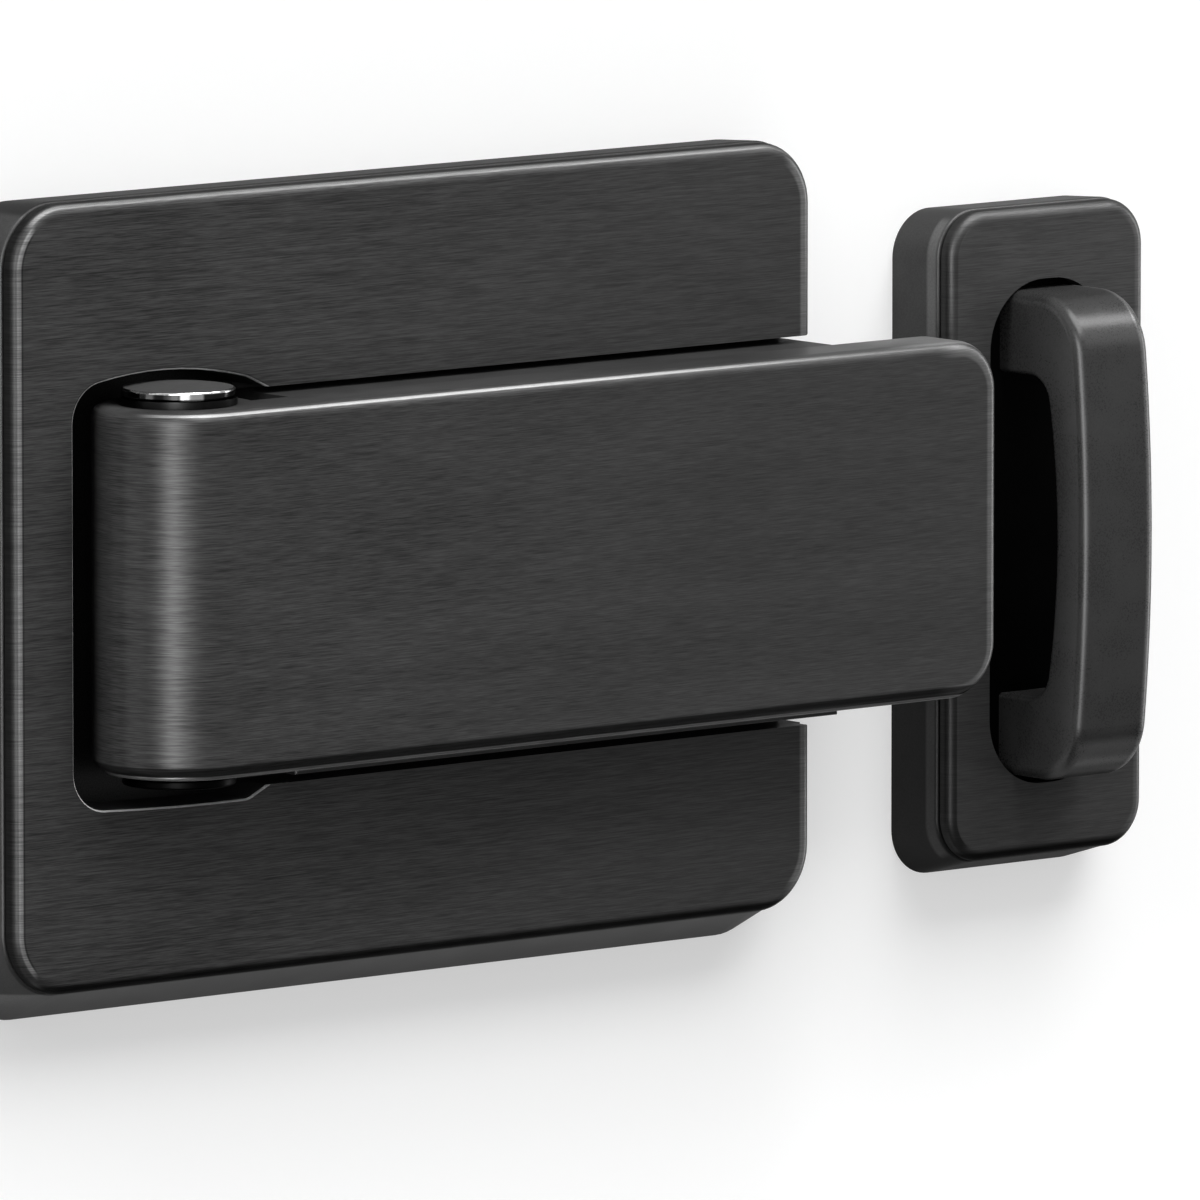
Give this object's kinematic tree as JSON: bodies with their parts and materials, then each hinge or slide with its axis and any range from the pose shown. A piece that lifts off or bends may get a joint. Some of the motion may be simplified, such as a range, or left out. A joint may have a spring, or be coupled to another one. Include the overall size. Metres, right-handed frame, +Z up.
{
  "type": "flip lock",
  "caption": "Surface-mounted flip lock: a rounded plate with a hinged bar that swings out of a slot, and a separate keeper with a D-shaped loop.",
  "frame": {"origin": "centre of the lock plate's wall face, on the wall plane", "axes": "+X from the hinge along the closed arm to the keeper, +Y into the wall, +Z up"},
  "size_m": [0.1481, 0.0188, 0.0808],
  "materials": {
    "brushed_gunmetal": "dark gunmetal, long brushed grain along the arm",
    "satin_casting": "dark gunmetal, fine satin",
    "polished_pin": "dark, turned and polished",
    "zinc_plated_steel": "zinc-plated screws",
    "black_steel": "black oxide",
    "bearing_bronze": "plain sintered bronze",
    "rest_pad": "matt black elastomer"
  },
  "bodies": {
    "root": {"lock_cover": "brushed_gunmetal", "keeper_cover": "brushed_gunmetal", "lock_base": "satin_casting", "keeper_base": "satin_casting", "keeper_loop": "satin_casting", "lock_cover_screws": "zinc_plated_steel", "keeper_cover_screws": "zinc_plated_steel", "loop_screws": "zinc_plated_steel", "lock_mounting_plate": "black_steel", "keeper_mounting_plate": "black_steel", "lock_grub_screws": "black_steel", "keeper_grub_screws": "black_steel", "friction_washer": "black_steel", "hinge_bush": "bearing_bronze", "upper_thrust_washer": "bearing_bronze", "lower_thrust_washer": "bearing_bronze", "arm_rest_pads": "rest_pad"},
    "swing_arm": {"arm": "brushed_gunmetal", "upper_head_washer": "polished_pin", "lower_head_washer": "polished_pin", "hinge_pin": "polished_pin", "pin_cap_screw": "polished_pin"}
  },
  "joints": [
    {"name": "arm_hinge", "type": "hinge", "parent": "root", "child": "swing_arm", "pos_m": [-0.0323, -0.0098, 0], "axis": [0, 0, -1], "range_deg": [0, 105]}
  ]
}
